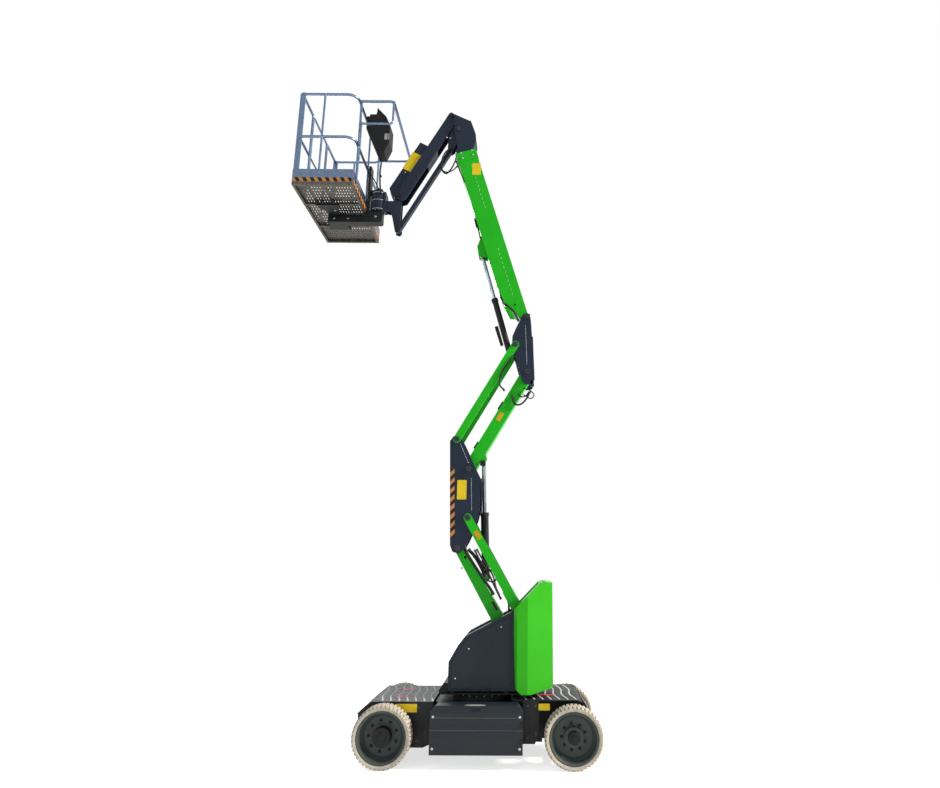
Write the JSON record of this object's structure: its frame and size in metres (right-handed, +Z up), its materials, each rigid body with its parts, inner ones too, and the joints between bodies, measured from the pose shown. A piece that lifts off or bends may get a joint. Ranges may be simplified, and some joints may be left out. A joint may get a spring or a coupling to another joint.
{
  "type": "electric boom lift",
  "caption": "Self-propelled articulated boom lift: wheeled chassis, slewing turntable, folding riser, telescopic boom, jib and railed work platform.",
  "frame": {"origin": "middle of the bounding box in plan, at ground level", "axes": "+Z up; -X towards the working platform, +X towards the counterweight and steered wheels, +Y the far side of the picture"},
  "size_m": [3.66, 1.55, 7.9766],
  "materials": {
    "black_steel": "satin paint",
    "chrome": "ground chrome",
    "console": "textured",
    "dark_steel": "satin powder coat",
    "galvanised": "galvanised",
    "green_steel": "semi-gloss powder coat",
    "rim_paint": "satin paint",
    "solid_tyre": "non-marking rubber"
  },
  "bodies": {
    "chassis": {"chassis_frame": "black_steel", "side_plates": "black_steel", "axle_mounts": "black_steel", "tie_down_lugs": "black_steel", "deck_covers": "black_steel", "battery_boxes": "black_steel", "slew_ring": "black_steel"},
    "turntable": {"turntable_base": "black_steel", "side_cowls": "dark_steel", "counterweight": "green_steel"},
    "lower_arm": {"lower_arm": "green_steel"},
    "lower_link": {"lower_link": "green_steel"},
    "mid_upright": {"mid_upright": "dark_steel"},
    "upper_arm": {"upper_arm": "green_steel"},
    "upper_link": {"upper_link": "green_steel"},
    "upper_upright": {"upper_upright": "dark_steel"},
    "riser_barrel": {"riser_barrel": "dark_steel"},
    "riser_rod": {"riser_rod": "chrome"},
    "main_boom": {"main_boom": "green_steel"},
    "lift_barrel": {"lift_barrel": "dark_steel"},
    "lift_rod": {"lift_rod": "chrome"},
    "fly_boom": {"fly_boom": "dark_steel", "boom_nose": "dark_steel"},
    "level_head": {"level_head": "dark_steel"},
    "jib": {"jib_arm": "dark_steel", "jib_cover": "dark_steel"},
    "jib_link": {"jib_link": "dark_steel"},
    "level_bracket": {"level_bracket": "dark_steel"},
    "platform": {"platform_support": "black_steel", "platform_floor": "galvanised", "toe_board": "galvanised", "top_rail": "galvanised", "mid_rail": "galvanised", "rail_posts": "galvanised", "console_guard": "galvanised", "control_console": "console"},
    "gate": {"platform_gate": "galvanised"},
    "knuckle_near": {"knuckle_near": "black_steel"},
    "knuckle_far": {"knuckle_far": "black_steel"},
    "wheel_drive_near": {"tyre_drive_near": "solid_tyre", "rim_drive_near": "rim_paint"},
    "wheel_drive_far": {"tyre_drive_far": "solid_tyre", "rim_drive_far": "rim_paint"},
    "wheel_steer_near": {"tyre_steer_near": "solid_tyre", "rim_steer_near": "rim_paint"},
    "wheel_steer_far": {"tyre_steer_far": "solid_tyre", "rim_steer_far": "rim_paint"}
  },
  "joints": [
    {"name": "slew", "type": "hinge", "parent": "chassis", "child": "turntable", "pos_m": [0.558, 0, 0.64], "axis": [0, 0, 1], "range_deg": [-180, 180]},
    {"name": "riser_lift", "type": "hinge", "parent": "turntable", "child": "lower_arm", "pos_m": [0.972, 0, 0.92026], "axis": [0, 1, 0], "range_deg": [-56, 4]},
    {"name": "lower_link_pivot", "type": "hinge", "parent": "turntable", "child": "lower_link", "pos_m": [1.084, 0, 1.26026], "axis": [0, 1, 0], "range_deg": [-56.02, 4.02]},
    {"name": "mid_upright_pivot", "type": "hinge", "parent": "lower_arm", "child": "mid_upright", "pos_m": [0.247, 0, 2.176], "axis": [0, 1, 0], "range_deg": [-4.02, 56.02]},
    {"name": "upper_arm_pivot", "type": "hinge", "parent": "mid_upright", "child": "upper_arm", "pos_m": [0.353, 0, 3.089], "axis": [0, 1, 0], "range_deg": [-4.02, 56.02]},
    {"name": "upper_link_pivot", "type": "hinge", "parent": "mid_upright", "child": "upper_link", "pos_m": [0.207, 0, 3.437], "axis": [0, 1, 0], "range_deg": [-4.02, 56.02]},
    {"name": "upper_upright_pivot", "type": "hinge", "parent": "upper_arm", "child": "upper_upright", "pos_m": [1.0405, 0, 4.27979], "axis": [0, 1, 0], "range_deg": [-56.02, 4.02]},
    {"name": "riser_barrel_pivot", "type": "hinge", "parent": "lower_arm", "child": "riser_barrel", "pos_m": [0.573, 0, 1.84], "axis": [0, 1, 0], "range_deg": [-3.38, 47.05]},
    {"name": "riser_rod_slide", "type": "slide", "parent": "riser_barrel", "child": "riser_rod", "axis": [-0.038, 0, 0.9993], "range_m": [-0.59358, 0.04286]},
    {"name": "boom_lift", "type": "hinge", "parent": "upper_upright", "child": "main_boom", "pos_m": [1.027, 0, 5], "axis": [0, 1, 0], "range_deg": [-73, 3]},
    {"name": "lift_barrel_pivot", "type": "hinge", "parent": "upper_upright", "child": "lift_barrel", "pos_m": [0.82, 0, 4.56], "axis": [0, 1, 0], "range_deg": [-62.25, 2.58]},
    {"name": "lift_rod_slide", "type": "slide", "parent": "lift_barrel", "child": "lift_rod", "axis": [-0.2697, 0, 0.9629], "range_m": [-0.56428, 0.02367]},
    {"name": "fly_extend", "type": "slide", "parent": "main_boom", "child": "fly_boom", "axis": [-0.2924, 0, 0.9563], "range_m": [0, 1.3]},
    {"name": "head_level", "type": "hinge", "parent": "fly_boom", "child": "level_head", "pos_m": [0.102, 0, 7.693], "axis": [0, 1, 0], "range_deg": [-3.02, 73.02]},
    {"name": "jib_lift", "type": "hinge", "parent": "level_head", "child": "jib", "pos_m": [-0.003, 0, 7.92], "axis": [0, 1, 0], "range_deg": [-3, 122]},
    {"name": "jib_link_pivot", "type": "hinge", "parent": "level_head", "child": "jib_link", "pos_m": [-0.008, 0, 7.436], "axis": [0, 1, 0], "range_deg": [-3.02, 122.02]},
    {"name": "bracket_level", "type": "hinge", "parent": "jib", "child": "level_bracket", "pos_m": [-0.65957, 0, 6.71075], "axis": [0, 1, 0], "range_deg": [-122.02, 3.02]},
    {"name": "platform_rotate", "type": "hinge", "parent": "level_bracket", "child": "platform", "pos_m": [-0.942, 0, 6.6], "axis": [0, 0, 1], "range_deg": [-55, 55]},
    {"name": "gate_hinge", "type": "hinge", "parent": "platform", "child": "gate", "pos_m": [-1.805, 0.3, 7], "axis": [0, 0, 1], "range_deg": [0, 85]},
    {"name": "steer_near", "type": "hinge", "parent": "chassis", "child": "knuckle_near", "pos_m": [1.53, -0.47, 0.3], "axis": [0, 0, 1], "range_deg": [-25, 25]},
    {"name": "steer_far", "type": "hinge", "parent": "chassis", "child": "knuckle_far", "pos_m": [1.53, 0.47, 0.3], "axis": [0, 0, 1], "range_deg": [-25.02, 25.02]},
    {"name": "wheel_drive_near_spin", "type": "hinge", "parent": "chassis", "child": "wheel_drive_near", "pos_m": [-0.414, -0.608, 0.3], "axis": [0, 1, 0], "continuous": true},
    {"name": "wheel_drive_far_spin", "type": "hinge", "parent": "chassis", "child": "wheel_drive_far", "pos_m": [-0.414, 0.608, 0.3], "axis": [0, 1, 0], "continuous": true},
    {"name": "wheel_steer_near_spin", "type": "hinge", "parent": "knuckle_near", "child": "wheel_steer_near", "pos_m": [1.53, -0.608, 0.3], "axis": [0, 1, 0], "continuous": true},
    {"name": "wheel_steer_far_spin", "type": "hinge", "parent": "knuckle_far", "child": "wheel_steer_far", "pos_m": [1.53, 0.608, 0.3], "axis": [0, 1, 0], "continuous": true}
  ],
  "couplings": [
    {"joint": "lower_link_pivot", "follows": "riser_lift", "ratio": 1},
    {"joint": "mid_upright_pivot", "follows": "riser_lift", "ratio": -1},
    {"joint": "upper_arm_pivot", "follows": "riser_lift", "ratio": -1},
    {"joint": "upper_link_pivot", "follows": "riser_lift", "ratio": -1},
    {"joint": "upper_upright_pivot", "follows": "riser_lift", "ratio": 1},
    {"joint": "riser_barrel_pivot", "follows": "riser_lift", "ratio": -0.8398},
    {"joint": "riser_rod_slide", "follows": "riser_lift", "m_per_rad": 0.6068},
    {"joint": "lift_barrel_pivot", "follows": "boom_lift", "ratio": 0.8525},
    {"joint": "lift_rod_slide", "follows": "boom_lift", "m_per_rad": 0.4425},
    {"joint": "head_level", "follows": "boom_lift", "ratio": -1},
    {"joint": "jib_link_pivot", "follows": "jib_lift", "ratio": 1},
    {"joint": "bracket_level", "follows": "jib_lift", "ratio": -1},
    {"joint": "steer_far", "follows": "steer_near", "ratio": 1}
  ]
}
